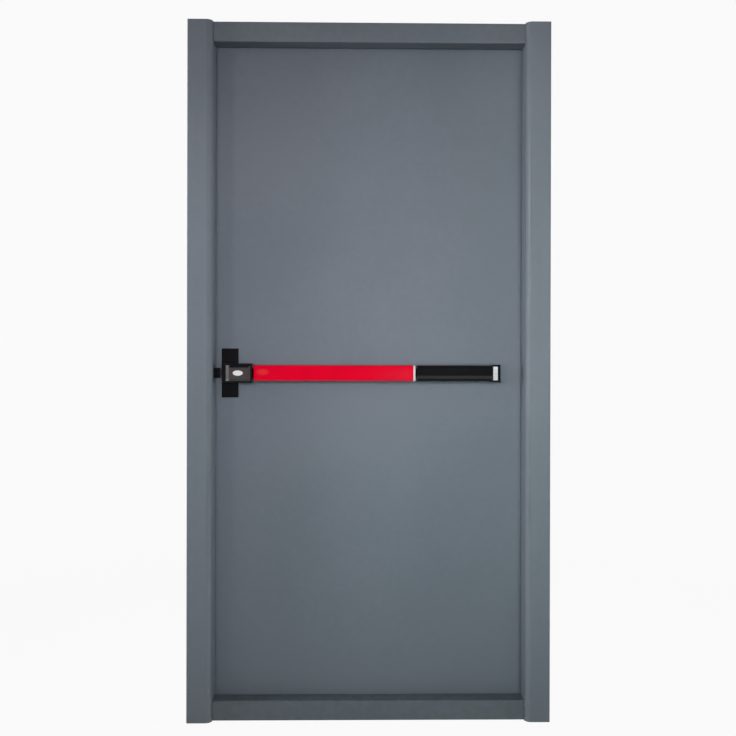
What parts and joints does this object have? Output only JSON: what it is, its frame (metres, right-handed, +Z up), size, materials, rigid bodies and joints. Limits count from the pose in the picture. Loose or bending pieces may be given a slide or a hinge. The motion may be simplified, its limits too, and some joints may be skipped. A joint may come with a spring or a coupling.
{
  "type": "steel exit door",
  "caption": "Hollow steel exit door leaf hung on butt hinges in a folded-steel frame, with a sliding touch bar that draws back the latch bolt.",
  "frame": {"origin": "underside of the sill at floor level, midway between the jambs and midway between the frame's front and back planes", "axes": "+Z up, +X along the door from the latch side to the hinge side, +Y away from the push side, the way the leaf opens"},
  "size_m": [1.088, 0.1505, 2.1],
  "materials": {
    "frame_paint": "satin",
    "leaf_paint": "satin",
    "seal_rubber": "matte",
    "dark_steel": "satin",
    "zinc_steel": "satin",
    "device_black": "gloss",
    "case_grey": "satin",
    "bar_red": "gloss",
    "rail_aluminium": "satin"
  },
  "bodies": {
    "frame": {"hinge_jamb": "frame_paint", "latch_jamb": "frame_paint", "frame_head": "frame_paint", "frame_sill": "frame_paint", "hinge_jamb_anchor_sleeves": "zinc_steel", "latch_jamb_anchor_sleeves": "zinc_steel", "hinge_side_seal": "seal_rubber", "latch_side_seal": "seal_rubber", "head_seal": "seal_rubber", "sill_seal": "seal_rubber", "strike": "device_black", "lower_hinge_frame_plate": "zinc_steel", "lower_hinge_pin": "zinc_steel", "middle_hinge_frame_plate": "zinc_steel", "middle_hinge_pin": "zinc_steel", "upper_hinge_frame_plate": "zinc_steel", "upper_hinge_pin": "zinc_steel"},
    "leaf": {"leaf_front_skin": "leaf_paint", "leaf_back_skin": "leaf_paint", "lower_hinge_leaf_plate": "zinc_steel", "middle_hinge_leaf_plate": "zinc_steel", "upper_hinge_leaf_plate": "zinc_steel", "chassis_plate": "device_black", "latch_case": "case_grey", "case_badge": "rail_aluminium", "base_rail": "rail_aluminium", "bar_guide_posts": "zinc_steel", "rail_cover": "device_black", "end_cap": "device_black", "end_cap_inlay": "rail_aluminium"},
    "touch_bar": {"touch_bar": "bar_red", "touch_bar_left_cap": "bar_red", "touch_bar_right_cap": "rail_aluminium"},
    "latch_bolt": {"latch_bolt": "dark_steel"}
  },
  "joints": [
    {"name": "door_swing", "type": "hinge", "parent": "frame", "child": "leaf", "pos_m": [0.4835, 0.0755, 1.05], "axis": [0, 0, -1], "range_deg": [0, 180]},
    {"name": "touch_bar_push", "type": "slide", "parent": "leaf", "child": "touch_bar", "axis": [0, 1, 0], "range_m": [0, 0.012], "stiffness_N_per_m": 2000, "springref_m": -0.01},
    {"name": "latch_retract", "type": "slide", "parent": "leaf", "child": "latch_bolt", "axis": [1, 0, 0], "range_m": [0, 0.01]}
  ],
  "couplings": [
    {"joint": "latch_retract", "follows": "touch_bar_push", "ratio": 0.83333}
  ]
}
